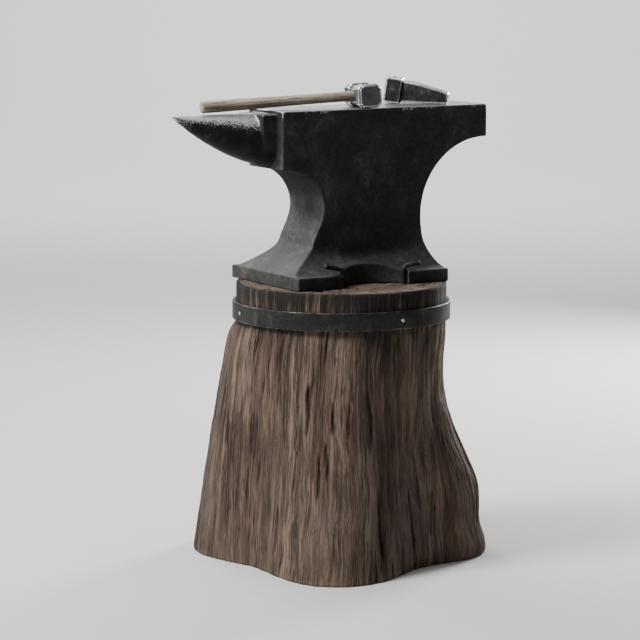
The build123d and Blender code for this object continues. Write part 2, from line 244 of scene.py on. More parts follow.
def neighbour_mean(mesh):
    """A function that averages per-vertex rows over each vertex's neighbours."""
    edges = np.empty(2 * len(mesh.edges), int)
    mesh.edges.foreach_get("vertices", edges)
    start, end = edges.reshape(-1, 2).T
    size = len(mesh.vertices)
    count = np.maximum(np.bincount(edges, minlength=size), 1)

    def mean(rows):
        columns = rows.reshape(size, -1).T
        totals = [np.bincount(start, c[end], size) + np.bincount(end, c[start], size) for c in columns]
        return (np.array(totals) / count).T.reshape(rows.shape)

    return mean


def shade_smooth(mesh):
    mesh.polygons.foreach_set("use_smooth", [True] * len(mesh.polygons))


def link(mesh, name):
    piece = bpy.data.objects.new(name, mesh)
    bpy.context.scene.collection.objects.link(piece)
    return piece


def remeshed_copy(nodes, name, voxel):
    """One closed, evenly fine mesh over the given CAD nodes."""
    joined = bmesh.new()
    for node in nodes:
        joined.from_mesh(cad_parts[node].data)
    mesh = bpy.data.meshes.new(name + "_source")
    joined.to_mesh(mesh)
    joined.free()
    source = link(mesh, name + "_source")
    remesh = source.modifiers.new("remesh", "REMESH")
    remesh.mode = "VOXEL"
    remesh.voxel_size = voxel
    evaluated = source.evaluated_get(bpy.context.evaluated_depsgraph_get())
    fine = bpy.data.meshes.new_from_object(evaluated)
    fine.name = name
    bpy.data.objects.remove(source)
    fine.materials.clear()
    return fine


def worn_mesh(nodes, name, voxel, rounding, dent, dent_size, seed, chip=0.0, keenness=1.0):
    """A remeshed copy of CAD nodes with eased edges, dents and chipped edges, inside the nodes' own box.

    Rounding is the number of passes that ease the edges. Dent and chip are depths. The "wear" attribute is 1
    on the sharpest outer edges, and a keenness above 1 finds it on blunter ones too. The "hollow" attribute
    is 1 in the sharpest inner corners; on the anvil it later carries painted shade underneath as well.
    """
    mesh = remeshed_copy(nodes, name, voxel)
    mean = neighbour_mean(mesh)
    points = coordinates(mesh)
    low, high = points.min(0), points.max(0)
    for _ in range(rounding):
        points = points + EASING_STEP * (mean(points) - points)
        points = points - SWELLING_STEP * (mean(points) - points)
    set_coordinates(mesh, points)
    directions = normals(mesh)
    bend = np.sum((points - mean(points)) * directions, axis=1) / voxel
    for _ in range(BEND_PASSES):
        bend = mean(bend)
    bend *= keenness
    wear = ramp(bend, *EDGE_BEND)
    dents = layered_noise(points / dent_size, 3, seed)
    chips = ramp(layered_noise(points / CHIP_SIZE, 2, seed + 3), 0.25, 0.8)
    depth = dent * ramp(dents, -0.2, 1.0) + chip * wear * chips
    points = np.clip(points - directions * depth[:, None], low, high)
    set_coordinates(mesh, points)
    set_value(mesh, "wear", np.clip(wear + 0.6 * chips * mean(wear), 0, 1))
    set_value(mesh, "hollow", ramp(-bend, *CORNER_BEND))
    shade_smooth(mesh)
    return mesh


def lies_on(edge, point, normal):
    """Whether both ends of an edge lie on the plane through a point."""
    return all(abs((vertex.co - point).dot(normal)) < CUT_TOLERANCE for vertex in edge.verts)


def part_of(mesh, name, planes, keep):
    """The part of a closed mesh whose face centres pass keep, cut along planes and closed there.

    Each plane is a point on it and its normal.
    """
    part = bmesh.new()
    part.from_mesh(mesh)
    for point, normal in planes:
        everything = part.verts[:] + part.edges[:] + part.faces[:]
        bmesh.ops.bisect_plane(part, geom=everything, plane_co=point, plane_no=normal)
    unwanted = [face for face in part.faces if not keep(face.calc_center_median())]
    bmesh.ops.delete(part, geom=unwanted, context="FACES")
    for point, normal in planes:
        rim = [edge for edge in part.edges if edge.is_boundary and lies_on(edge, point, normal)]
        for edge in rim:
            edge.smooth = False
        bmesh.ops.triangle_fill(part, edges=rim, normal=normal)
    result = bpy.data.meshes.new(name)
    part.to_mesh(result)
    part.free()
    return result


def long_axis(points):
    """The middle of some points, and their three principal directions, longest first."""
    middle = points.mean(0)
    values, directions = np.linalg.eigh(np.cov((points - middle).T))
    return middle, directions[:, np.argsort(values)[::-1]]


def place(mesh, body, slot, material, *nodes):
    """Puts a finished mesh on its body in the place of CAD nodes."""
    mesh.materials.append(material)
    piece = link(mesh, mesh.name)
    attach(piece, body)
    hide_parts(*nodes)


# ---------------------------------------------------------------- material helpers


class Graph:
    """The node tree of one new material."""

    def __init__(self, name):
        self.material = bpy.data.materials.new(name)
        self.material.use_nodes = True
        self.tree = self.material.node_tree
        self.shader = self.tree.nodes["Principled BSDF"]

    def add(self, kind, inputs=(), **settings):
        node = self.tree.nodes.new(kind)
        for key, value in settings.items():
            setattr(node, key, value)
        for socket, value in dict(inputs).items():
            self.feed(node.inputs[socket], value)
        return node

    def feed(self, socket, value):
        if isinstance(value, bpy.types.NodeSocket):
            self.tree.links.new(value, socket)
        else:
            socket.default_value = value

    def attribute(self, name, output="Fac"):
        return self.add("ShaderNodeAttribute", attribute_name=name).outputs[output]

    def position(self):
        return self.add("ShaderNodeTexCoord").outputs["Object"]

    def stretched(self, vector, scale):
        return self.add("ShaderNodeMapping", {"Vector": vector, "Scale": scale}).outputs[0]

    def noise(self, vector, scale, detail, roughness, distortion=0.0):
        inputs = {"Vector": vector, "Scale": scale, "Detail": detail, "Roughness": roughness}
        inputs["Distortion"] = distortion
        return self.add("ShaderNodeTexNoise", inputs).outputs["Fac"]

    def remap(self, value, low, high, out_low=0.0, out_high=1.0):
        inputs = {"Value": value, "From Min": low, "From Max": high, "To Min": out_low, "To Max": out_high}
        return self.add("ShaderNodeMapRange", inputs, interpolation_type="SMOOTHSTEP").outputs["Result"]

    def math(self, operation, *values):
        return self.add("ShaderNodeMath", dict(enumerate(values)), operation=operation).outputs[0]

    def times(self, first, second):
        return self.math("MULTIPLY", first, second)

    def total(self, first, *others):
        for other in others:
            first = self.math("ADD", first, other)
        return first

    def mix(self, share, first, second, blend="MIX"):
        node = self.add("ShaderNodeMix", data_type="RGBA", blend_type=blend)
        colors = [socket for socket in node.inputs if socket.type == "RGBA"]
        for socket, value in zip([node.inputs[0], *colors], (share, first, second)):
            self.feed(socket, value)
        return next(socket for socket in node.outputs if socket.type == "RGBA")

    def scaled(self, color, factor):
        """A colour made darker or lighter by a number."""
        shade = self.add("ShaderNodeCombineColor", {0: factor, 1: factor, 2: factor}).outputs[0]
        return self.mix(1.0, color, shade, "MULTIPLY")

    def bump(self, height, distance, strength=1.0):
        inputs = {"Height": height, "Distance": distance, "Strength": strength}
        return self.add("ShaderNodeBump", inputs).outputs["Normal"]

    def finish(self, color, roughness, metallic, normal, shine=0.5):
        sockets = {"Base Color": color, "Roughness": roughness, "Metallic": metallic, "Normal": normal}
        sockets["Specular IOR Level"] = shine
        for name, value in sockets.items():
            self.feed(self.shader.inputs[name], value)
        return self.material


def grey(level):
    return (level, level, level, 1.0)


# Scale greyed by wear, and the same grey used as painted light on the anvil's sides
LIT_AND_RUBBED_SCALE = (0.105, 0.108, 0.100, 1.0)
CHARCOAL = (0.012, 0.011, 0.010, 1.0)


def metal(
    name,
    dark,
    light,
    stain,
    bare,
    rough,
    bare_rough,
    start=0.55,
    width=0.3,
    spread=0.5,
    stains=0.6,
    size=1.0,
    shine=0.35,
):
    """Forged metal: mottled dark scale with stains, bare where the wear and polish attributes are high.

    The bare metal starts at the level start of those attributes, with noise of the given spread on top of
    them, and is complete a width further. A size above 1 makes the pattern finer. The rub attribute greys the
    scale without baring the metal, at worn edges and as painted light on the anvil's sides, and the hollow
    attribute darkens it, in inner corners and as painted shade on the anvil's underside. Shine is how
    strongly the scale mirrors.
    """
    graph = Graph(name)
    where = graph.position()
    patches = graph.noise(where, 13.0 * size, 5.0, 0.62)
    clouds = graph.noise(graph.stretched(where, (1.0, 1.0, 0.55)), 34.0 * size, 6.0, 0.7, 0.5)
    spots = graph.noise(where, 120.0 * size, 6.0, 0.7)
    specks = graph.noise(where, 420.0 * size, 3.0, 0.6)
    grains = graph.noise(where, 900.0 * size, 3.0, 0.6)
    scale_skin = graph.mix(graph.remap(patches, 0.36, 0.66), dark, light)
    stained = graph.times(graph.remap(clouds, 0.50, 0.66), graph.remap(patches, 0.44, 0.60))
    scale_skin = graph.mix(graph.times(stained, stains), scale_skin, stain)
    # Greyer scale at the anvil's worn edges, and painted light on its sides that face along it
    lit_and_rubbed = graph.times(graph.attribute("rub"), graph.remap(clouds, 0.3, 0.7, 0.45, 1.0))
    scale_skin = graph.mix(lit_and_rubbed, scale_skin, LIT_AND_RUBBED_SCALE)
    scale_skin = graph.scaled(scale_skin, graph.remap(spots, 0.3, 0.7, 0.7, 1.35))
    worn = graph.total(
        graph.times(graph.attribute("wear"), 1.5),
        graph.attribute("polish"),
        graph.remap(spots, 0.28, 0.72, -spread, spread),
        graph.remap(patches, 0.32, 0.68, -spread / 2, spread / 2),
        graph.remap(specks, 0.32, 0.68, -spread / 2, spread / 2),
    )
    bared = graph.remap(worn, start, start + width)
    nicks = graph.times(graph.remap(specks, 0.70, 0.76), graph.remap(clouds, 0.50, 0.66, 0, 0.45))
    bared = graph.math("MAXIMUM", bared, nicks)
    bare_color = graph.scaled(bare, graph.remap(spots, 0.3, 0.7, 0.72, 1.12))
    color = graph.mix(bared, scale_skin, bare_color)
    # Darker in the sharpest inner corners, and with painted shade on the anvil's underside
    color = graph.scaled(color, graph.remap(graph.attribute("hollow"), 0.0, 1.0, 1.0, 0.55))
    roughness = graph.total(
        graph.remap(bared, 0.0, 1.0, rough, bare_rough),
        graph.remap(spots, 0.3, 0.7, -0.06, 0.09),
        graph.times(graph.attribute("hollow"), 0.25),
    )
    metallic = graph.remap(bared, 0.0, 1.0, 0.15, 1.0)
    relief = graph.total(graph.times(spots, 1.4), graph.times(grains, 0.35))
    return graph.finish(color, roughness, metallic, graph.bump(relief, 0.0011, 0.35), shine)


def wood(name, valley, body, ridge, end_dark, end_light, warm, weathered, fibre, dullness=0.75):
    """Dry wood that follows the grain attribute: fibres, dark valleys, pale ridges, end grain and charring.

    The grain attribute is in metres across the fibres, and fibre is the number of fibres per metre. Warm and
    weathered are the colours of broad streaks and of patches. The cracked attribute is how strong the winding
    cracks are, and dullness is the general roughness.
    """
    graph = Graph(name)
    along = graph.attribute("grain", "Vector")
    depth = graph.attribute("depth")
    broad = graph.noise(along, fibre * 0.07, 4.0, 0.65)
    streaks = graph.noise(along, fibre * 0.26, 3.0, 0.6)
    fibres = graph.noise(along, fibre, 5.0, 0.68, 0.15)
    threads = graph.noise(along, fibre * 3.1, 4.0, 0.65)
    hairs = graph.remap(graph.noise(along, fibre * 0.75, 3.0, 0.55), 0.60, 0.72)
    winding = graph.noise(along, fibre * 0.42, 2.0, 0.5, 0.3)
    off_line = graph.math("ABSOLUTE", graph.math("SUBTRACT", winding, 0.5))
    in_reach = graph.remap(graph.noise(along, fibre * 0.15, 3.0, 0.6), 0.48, 0.60)
    cracks = graph.times(graph.remap(off_line, 0.010, 0.028, 1.0, 0.0), in_reach)
    cracks = graph.times(cracks, graph.attribute("cracked"))
    tone = graph.total(
        graph.times(streaks, 0.35),
        graph.times(fibres, 0.4),
        graph.times(threads, 0.25),
    )
    # Paler where the fibres stand up: wood tone with a painted highlight on the raised fibres
    color = graph.mix(graph.remap(tone, 0.42, 0.60), body, ridge)
    color = graph.mix(graph.remap(broad, 0.42, 0.64, 0.0, 0.6), color, warm)
    worn_patches = graph.noise(graph.stretched(graph.position(), (1.0, 1.0, 0.45)), 16.0, 5.0, 0.65)
    color = graph.mix(graph.remap(worn_patches, 0.50, 0.66, 0.0, 0.55), color, weathered)
    color = graph.scaled(color, graph.attribute("shade"))
    # Darker where the fibres sink and in grooves, cracks and splits: dark wood with painted shade there
    between = graph.remap(fibres, 0.3, 0.7, 0.18, -0.2)
    sunken = graph.total(depth, between, graph.times(hairs, 0.32))
    color = graph.mix(graph.remap(sunken, 0.25, 0.95), color, valley)
    color = graph.mix(graph.times(cracks, 0.9), color, valley)
    rings = graph.noise(graph.attribute("ring", "Vector"), 1.0, 4.0, 0.65)
    end = graph.mix(graph.remap(rings, 0.42, 0.58), end_dark, end_light)
    # The sawn end's checks are darker: dark wood with painted shade
    end = graph.mix(graph.times(depth, 0.8), end, valley)
    color = graph.mix(graph.attribute("end"), color, end)
    burnt = graph.times(graph.attribute("char"), graph.remap(tone, 0.36, 0.64, 1.3, 0.7))
    color = graph.mix(graph.remap(burnt, 0.0, 1.0, 0.0, 0.95), color, CHARCOAL)
    speckle = graph.noise(graph.position(), 950.0, 3.0, 0.7)
    color = graph.scaled(color, graph.remap(speckle, 0.3, 0.7, 0.66, 1.36))
    roughness = graph.remap(tone, 0.3, 0.7, dullness + 0.12, dullness - 0.06)
    relief = graph.total(
        fibres,
        graph.times(threads, 0.55),
        graph.times(hairs, -0.5),
        graph.times(cracks, -1.8),
        graph.times(speckle, 0.22),
    )
    return graph.finish(color, roughness, 0.0, graph.bump(relief, 0.0036), shine=0.25)


# ---------------------------------------------------------------- the materials

WOODS = {
    "stump_wood": dict(
        valley=(0.015, 0.009, 0.006, 1),
        body=(0.053, 0.035, 0.024, 1),
        ridge=(0.200, 0.144, 0.104, 1),
        end_dark=(0.028, 0.017, 0.012, 1),
        end_light=(0.200, 0.138, 0.102, 1),
        warm=(0.078, 0.044, 0.031, 1),
        weathered=(0.088, 0.066, 0.058, 1),
        fibre=330.0,
    ),
    "handle_wood": dict(
        valley=(0.055, 0.042, 0.030, 1),
        body=(0.235, 0.196, 0.146, 1),
        ridge=(0.600, 0.535, 0.430, 1),
        end_dark=(0.250, 0.205, 0.150, 1),
        end_light=(0.560, 0.490, 0.390, 1),
        warm=(0.330, 0.260, 0.180, 1),
        weathered=(0.310, 0.280, 0.230, 1),
        fibre=420.0,
        dullness=0.6,
    ),
    "wedge_wood": dict(
        valley=(0.080, 0.055, 0.035, 1),
        body=(0.260, 0.190, 0.120, 1),
        ridge=(0.420, 0.330, 0.230, 1),
        end_dark=(0.200, 0.140, 0.090, 1),
        end_light=(0.420, 0.330, 0.230, 1),
        warm=(0.200, 0.100, 0.060, 1),
        weathered=(0.240, 0.200, 0.150, 1),
        fibre=600.0,
    ),
}
MOSS = (0.088, 0.083, 0.060, 1)
METALS = {
    "black_iron": dict(
        dark=grey(0.021),
        light=grey(0.037),
        stain=MOSS,
        bare=grey(0.22),
        rough=0.62,
        bare_rough=0.40,
        start=0.80,
        spread=0.28,
        shine=0.14,
    ),
    "face_steel": dict(
        dark=grey(0.021),
        light=grey(0.037),
        stain=MOSS,
        bare=grey(0.50),
        rough=0.60,
        bare_rough=0.36,
        start=0.60,
        spread=0.36,
        shine=0.14,
    ),
    "horn_iron": dict(
        dark=grey(0.008),
        light=grey(0.013),
        stain=MOSS,
        bare=grey(0.60),
        rough=0.60,
        bare_rough=0.40,
        width=0.75,
        spread=0.45,
        stains=0.1,
        size=3.0,
        shine=0.14,
    ),
    "hoop_iron": dict(
        dark=(0.012, 0.013, 0.012, 1),
        light=(0.024, 0.025, 0.023, 1),
        stain=(0.085, 0.080, 0.064, 1),
        bare=grey(0.18),
        rough=0.5,
        bare_rough=0.38,
        start=0.85,
        spread=0.3,
        stains=0.4,
        size=1.6,
        shine=0.20,
    ),
    "spike_iron": dict(
        dark=grey(0.014),
        light=grey(0.030),
        stain=MOSS,
        bare=grey(0.14),
        rough=0.5,
        bare_rough=0.42,
        start=1.30,
        size=2.5,
        shine=0.22,
    ),
    "nail_steel": dict(
        dark=grey(0.30),
        light=grey(0.45),
        stain=grey(0.25),
        bare=grey(0.65),
        rough=0.35,
        bare_rough=0.25,
        start=0.3,
        size=4.0,
    ),
    "hammer_steel": dict(
        dark=grey(0.060),
        light=grey(0.095),
        stain=grey(0.045),
        bare=grey(0.78),
        rough=0.42,
        bare_rough=0.30,
        start=0.75,
        spread=0.35,
        stains=0.3,
        size=3.0,
    ),
    "peen_steel": dict(
        dark=grey(0.010),
        light=grey(0.028),
        stain=(0.13, 0.13, 0.118, 1),
        bare=grey(0.72),
        rough=0.46,
        bare_rough=0.30,
        start=0.70,
        spread=0.45,
        size=4.0,
    ),
}


# ---------------------------------------------------------------- the stump


def stump_radii(angles, heights):
    """The CAD stump's radius at each height and angle, smoothed free of facets and drilled holes."""
    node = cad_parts["stump"].data
    tree = BVHTree.FromPolygons([v.co for v in node.vertices], [list(p.vertices) for p in node.polygons])
    low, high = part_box("stump")
    radii = np.zeros((len(heights), len(angles)))
    for row, height in enumerate(heights):
        level = min(max(height, low.z + MM), high.z - SAWN_EDGE)
        for column, angle in enumerate(angles):
            hit = tree.ray_cast(Vector((0, 0, level)), Vector((cos(angle), sin(angle), 0)))
            radii[row, column] = hit[3] if hit[0] else 0.0
        if height > high.z - TURNED_TOP:
            radii[row] = radii[row].max()
    for _ in range(RADIUS_PASSES):
        around = (np.roll(radii, 1, 1) + np.roll(radii, -1, 1)) / 2
        radii = (radii + around) / 2
    return radii


class Bark:
    """Fields over the points of the stump's side, which follow the wandering fibres."""

    def __init__(self, angles, heights, radii):
        self.heights = heights
        self.angles = angles
        self.radii = radii
        around = np.cumsum(radii, 1)
        spread = 2 * pi * around / around[:, -1:] - angles
        for _ in range(FLOW_PASSES):
            spread[1:-1] = (spread[:-2] + 2 * spread[1:-1] + spread[2:]) / 4
        flow = angles + ROOT_PULL * (spread - spread.mean(1, keepdims=True))
        wobble = np.stack([np.cos(angles), np.sin(angles), heights], -1).reshape(-1, 3)
        waves = 0.040 * smooth_noise(wobble * [1.6, 1.6, 4.0], 5)
        waves += 0.016 * smooth_noise(wobble * [6, 6, 17], 9)
        waves += 0.0035 * smooth_noise(wobble * [16, 16, 55], 13)
        flow += waves.reshape(flow.shape)
        for angle, height, size in KNOTS:
            across, far = self.distance(angle, height, size, KNOT_SQUASH)
            flow -= 0.6 * np.sign(across) * size / radii * bell(far / 1.5) * ramp(far, 0, 0.4)
        self.around = np.stack([np.cos(flow), np.sin(flow)], -1)

    def distance(self, angle, height, size, squash):
        """How far each point is from a place: across the fibres, and in sizes, squashed along the fibres."""
        across = ((self.angles - radians(angle) + pi) % (2 * pi) - pi) * self.radii
        return across, np.hypot(across, squash * (self.heights - height)) / size

    def streaks(self, across, along, seed, layers=1):
        """Noise with the given number of features per radius across the fibres, and per metre along them."""
        points = np.concatenate([self.around * across, (self.heights * along)[..., None]], -1)
        return layered_noise(points.reshape(-1, 3), layers, seed).reshape(self.heights.shape)

    def grooves(self, across, along, seed, width):
        """1 along narrow winding grooves, which come and go, and 0 between them."""
        line = ramp(width - np.abs(self.streaks(across, along, seed)), 0, width)
        return line * ramp(self.streaks(across * 0.7, along * 1.3, seed + 1), -0.45, 0.3)


def knot_rings(bark):
    """Dark eyes with rings of fibres round them."""
    knots = np.zeros(bark.heights.shape)
    for angle, height, size in KNOTS:
        far = bark.distance(angle, height, size, KNOT_SQUASH)[1]
        rings = 0.5 + 0.5 * np.cos(far * 11 + 1.5 * bark.streaks(12, 30, 97))
        knots = np.maximum(knots, 0.7 * bell(far / 0.35) + 0.6 * rings * bell(far / 1.2))
    return knots


def torn_scars(bark):
    """Patches with short ragged marks across the fibres."""
    scars = np.zeros(bark.heights.shape)
    hatch = ramp(bark.streaks(34, 110, 91, 2), -0.35, 0.5)
    for angle, height, size in SCARS:
        far = bark.distance(angle, height, size, 1.6)[1]
        scars = np.maximum(scars, bell(far / 0.8) * (0.45 + 0.55 * hatch))
    return scars


def drying_splits(bark):
    """Long narrow splits along the fibres, widest in the middle, with ragged sides."""
    splits = np.zeros(bark.heights.shape)
    ragged = 0.004 * bark.streaks(3.0, 22.0, 95) + 0.0022 * bark.streaks(30.0, 60.0, 96, 2)
    for angle, height, size in SPLITS:
        across = bark.distance(angle, height, size, 1.0)[0]
        half_width = 5.0 * MM * np.clip(1 - np.abs((bark.heights - height) / size) ** 3, 0, 1)
        splits = np.maximum(splits, ramp(half_width - np.abs(across + ragged), 0, 4.2 * MM))
    return splits


def side_shade(bark):
    """How light the side is, with blotches, long bands and lines, painted shade in two valleys and a painted
    highlight at the foot.
    """
    blotches = bark.streaks(3.4, 8.5, 101, 4)
    bands = bark.streaks(2.6, 0.9, 111, 2)
    lines = bark.streaks(14.0, 1.6, 116, 2)
    shade = 1.04 + 0.66 * blotches + 0.42 * bands + 0.44 * lines
    # Painted shade down a long valley and down a shorter one near the top
    shade -= 0.50 * bell(bark.distance(*LONG_VALLEY_SHADE, 0.0)[1])
    shade -= 0.40 * bell(bark.distance(*TOP_VALLEY_SHADE, 0.22)[1])
    # Painted highlight along the foot's bottom edge
    start, full = FOOT_EDGE_HIGHLIGHT
    return shade + 0.35 * ramp(-bark.heights, -start, -full)


def side_char(bark, turned):
    """Soot on the turned top, in long streaks, and densest round its upper edge."""
    start, full = SOOTY_BAND
    band = ramp(bark.heights, STUMP_TOP - start, STUMP_TOP - full)
    soot = 0.8 * bark.streaks(22.0, 0.8, 121, 2) + 0.5 * bark.streaks(52.0, 3.0, 131)
    return turned * (0.12 + 0.50 * band + ramp(soot, -0.22, 0.16) * (0.55 + 0.30 * band))


def carve_side(bark):
    """The wood's depth below its smooth form, and the dark, shade, char and cracked values of its side."""
    folds = bark.streaks(4.5, 2.2, 31, 2)
    cracked = 0.20 + 0.80 * ramp(bark.streaks(3.4, 5.5, 161, 2), -0.25, 0.35)
    ribs = bark.streaks(13.0, 3.0, 36, 2)
    wide = bark.grooves(10.0, 5.5, 41, 0.15) * (0.3 + 0.7 * cracked)
    narrow = bark.grooves(26.0, 6.5, 51, 0.22) * cracked
    thin = bark.grooves(52.0, 13.0, 61, 0.34) * cracked
    pits = ramp(bark.streaks(17.0, 8.0, 81), 0.52, 0.80)
    lumps = bark.streaks(7.0, 14.0, 86, 3)
    knots, scars, splits = knot_rings(bark), torn_scars(bark), drying_splits(bark)
    turned = ramp(bark.heights, STUMP_TOP - TURNED_TOP - TURNED_FADE, STUMP_TOP - TURNED_TOP)
    wild = 1 - turned
    ridged = 0.55 + 1.9 * bell(bark.distance(*RIBBED_SIDE, 0.0)[1])
    # Depths in millimetres: first the relief that turning took off the top, then what runs on over it
    depth = 4.4 * (0.5 - folds / 2) - 2.2 * lumps + 1.9 * ridged * (0.5 - ribs / 2) + 1.9 * wide + 2.6 * pits
    depth = wild * (depth - 4.0) + (0.3 + 0.7 * wild) * (2.0 * ridged * narrow + 1.1 * thin)
    depth += 4.5 * splits + 2.6 * knots + 0.9 * scars
    # Darker in the grooves, pits, splits, knots and rib valleys, with painted shade there, and in the scars
    dark = 0.40 * wide + 0.50 * narrow + 0.36 * thin + 0.40 * pits + 0.55 * splits + 0.4 * knots
    dark += 0.45 * scars + 0.15 * ramp(-ribs, 0.0, 0.9)
    shade = np.clip(side_shade(bark), 0.32, 1.5)
    return depth * MM, np.clip(dark, 0, 1), shade, side_char(bark, turned), cracked


def carve_top(bark, share):
    """The sawn end at share of the way out: how far it is sunk, its dark cracks and its ring coordinates."""
    around = np.column_stack([np.cos(bark.angles[0]), np.sin(bark.angles[0])])
    level = np.full(len(around), 3.0)
    wander = np.column_stack([around * (1.2 + share), level])
    twist = bark.angles[0] + 0.12 * smooth_noise(wander, 15)
    spokes = np.column_stack([np.cos(twist) * 9.0, np.sin(twist) * 9.0, np.full(len(around), share * 2.2)])
    checks = ramp(0.07 - np.abs(smooth_noise(spokes, 25)), 0.0, 0.07) * ramp(share, 0.10, 0.45)
    saw = smooth_noise(np.column_stack([around * share * SAWN_RADIUS * 60, level]), 35)
    sunk = 2.4 * checks + 0.25 - 0.25 * saw + 0.3 * ramp(share, 0.97, 1.0)
    distance = share * SAWN_RADIUS * (1 + 0.05 * smooth_noise(wander * 1.7, 45))
    ring = np.column_stack([around * 2.5 * share, distance * RINGS_PER_METRE])
    return sunk * MM, checks, ring


def grid_faces(rows, columns):
    """Quads of a closed strip of rows, and fans onto two more vertices at its top and its foot."""
    column = np.arange(columns)
    after = (column + 1) % columns
    faces = []
    for row in range(rows - 1):
        first, second = row * columns, (row + 1) * columns
        faces += np.stack([first + column, first + after, second + after, second + column], 1).tolist()
    last, count = (rows - 1) * columns, rows * columns
    faces += np.stack([last + column, last + after, np.full(columns, count)], 1).tolist()
    faces += np.stack([after, column, np.full(columns, count + 1)], 1).tolist()
    return faces


def side_rows(bark):
    """The rows of points of the stump's side, the foot's first, with their attributes."""
    low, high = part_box("stump")
    depth, dark, shade, char, cracked = carve_side(bark)
    edge = ramp(bark.heights, high.z - SAWN_EDGE, high.z)
    foot_edge = ramp(-bark.heights, -FOOT_EDGE, 0.0)
    rounding = (0.5 * edge + 1.6 * foot_edge) * (1 + 0.8 * bark.streaks(20, 5, 141))
    radius = bark.radii - depth - rounding * MM
    points = np.stack([radius * np.cos(bark.angles), radius * np.sin(bark.angles), bark.heights], -1)
    grain = np.concatenate([bark.around * GRAIN_RADIUS, (bark.heights * GRAIN_LENGTH)[..., None]], -1)
    rows = {"depth": dark, "shade": shade, "char": char, "end": np.zeros(dark.shape), "cracked": cracked}
    rows |= {"grain": grain, "ring": np.zeros(points.shape), "point": np.clip(points, low, high)}
    return {name: list(values) for name, values in rows.items()}


def add_top_rows(rows, bark):
    """Adds the rings of points of the sawn end, from the rim inward."""
    rim = rows["point"][-1][:, :2]
    sooty = ramp(bark.streaks(9, 0, 151)[-1], -0.4, 0.5)
    for step in range(1, TOP_RINGS):
        share = 1 - (step / TOP_RINGS) ** RING_CROWDING
        sunk, checks, ring = carve_top(bark, share)
        rows["depth"].append(checks)
        rows["shade"].append(np.ones(STUMP_COLUMNS))
        rows["char"].append(0.5 * ramp(share, 0.80, 1.0) * sooty)
        rows["end"].append(np.ones(STUMP_COLUMNS))
        rows["cracked"].append(np.zeros(STUMP_COLUMNS))
        rows["grain"].append(np.column_stack([rim * share, np.full(STUMP_COLUMNS, 0.5)]))
        rows["ring"].append(ring)
        rows["point"].append(np.column_stack([rim * share, STUMP_TOP - sunk]))


def make_stump(material):
    """The carved side and the sawn end as one mesh, closed by a point at the middle of each end."""
    low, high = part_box("stump")
    angles = np.linspace(-pi, pi, STUMP_COLUMNS, endpoint=False)
    levels = np.linspace(low.z, high.z, STUMP_ROWS)
    bark = Bark(*np.meshgrid(angles, levels), stump_radii(angles, levels))
    rows = side_rows(bark)
    add_top_rows(rows, bark)
    foot = rows["point"][0].mean(0)
    middles = {"depth": [0.3, 0.5], "shade": [1, 1], "char": [0, 0], "end": [1, 1], "cracked": [0, 0]}
    middles |= {"grain": np.zeros((2, 3)), "ring": np.zeros((2, 3)), "point": [[0, 0, high.z - MM], foot]}
    values = {name: np.concatenate([*rows[name], middles[name]]) for name in rows}
    mesh = bpy.data.meshes.new("stump_weathered")
    mesh.from_pydata(values["point"].tolist(), [], grid_faces(STUMP_ROWS + TOP_RINGS - 1, STUMP_COLUMNS))
    for name in ("depth", "shade", "char", "end", "cracked"):
        set_value(mesh, name, values[name])
    for name in ("grain", "ring"):
        set_vector(mesh, name, values[name])
    shade_smooth(mesh)
    place(mesh, "anvil_on_block", "stump_wood", material, "stump")


# ---------------------------------------------------------------- iron pieces


def paint_anvil(mesh, points, toward_tip):
    """Where the anvil is bright from use, greyed by wear and lightened by painted light on its sides, and
    darkened by painted shade underneath.
    """
    directions = normals(mesh)
    upward = directions[:, 2]
    sideways = ramp(np.abs(directions[:, 0]), 0.55, 0.98)
    plate_low, plate_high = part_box("face_plate")
    table_low, table_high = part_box("cutting_table")
    on_horn = points[:, 0] < table_low.x
    on_face = points[:, 2] > plate_high.z - TOP_SKIN
    on_table = (points[:, 0] < table_high.x) & (points[:, 2] > table_high.z - TOP_SKIN) & ~on_horn

    # On the anvil this is polished wear alone: the horn's top and tip, the face and table tops, and knocked
    # edges
    polish = (1.4 * ramp(upward, -0.05, 0.95) + 0.6 * toward_tip) * on_horn
    polish += ramp(upward, 0.5, 0.9) * (on_face | on_table)
    knocks = ramp(smooth_noise(points / (21 * MM), 70), 0.36, 0.60)
    knocks *= ramp(layered_noise(points / (4 * MM), 2, 71), -0.3, 0.3)
    knocks *= ramp(points[:, 2], plate_high.z - KNOCKED_EDGE, plate_high.z - MM) * (upward < 0.5) * ~on_horn
    set_value(mesh, "polish", polish + 1.3 * knocks)

    start, full = WAIST_SHADE_TO_LIGHT
    lowness = ramp(-points[:, 2], start - plate_low.z, full - plate_low.z)
    start, full = FOOT_LEVEL
    near_foot = ramp(-points[:, 2], -STUMP_TOP - start, -STUMP_TOP - full)
    on_table_side = (points[:, 0] < table_high.x - MM) & (points[:, 2] > plate_low.z - TABLE_SIDE)
    body_wear = values_of(mesh, "wear") * (points[:, 2] < plate_high.z - KNOCKED_EDGE) * ~on_horn
    set_value(mesh, "wear", values_of(mesh, "wear") - 0.65 * body_wear)
    # Painted light on the surfaces that face along the anvil: more low on the waist, less near the foot
    lit_and_rubbed = (0.80 * lowness - 0.62 * near_foot) * sideways * ~on_table_side
    # Wear at the body's edges greys the scale too, and the foot is a little greyer all round
    set_value(mesh, "rub", lit_and_rubbed + 0.35 * body_wear + 0.14 * near_foot)
    # Painted shade on surfaces that face down, and on the waist's sides high up under the face
    underneath = np.maximum(ramp(-upward, 0.05, 0.6), 0.7 * sideways * (1 - lowness)) * ~on_horn
    set_value(mesh, "hollow", np.maximum(values_of(mesh, "hollow"), underneath))


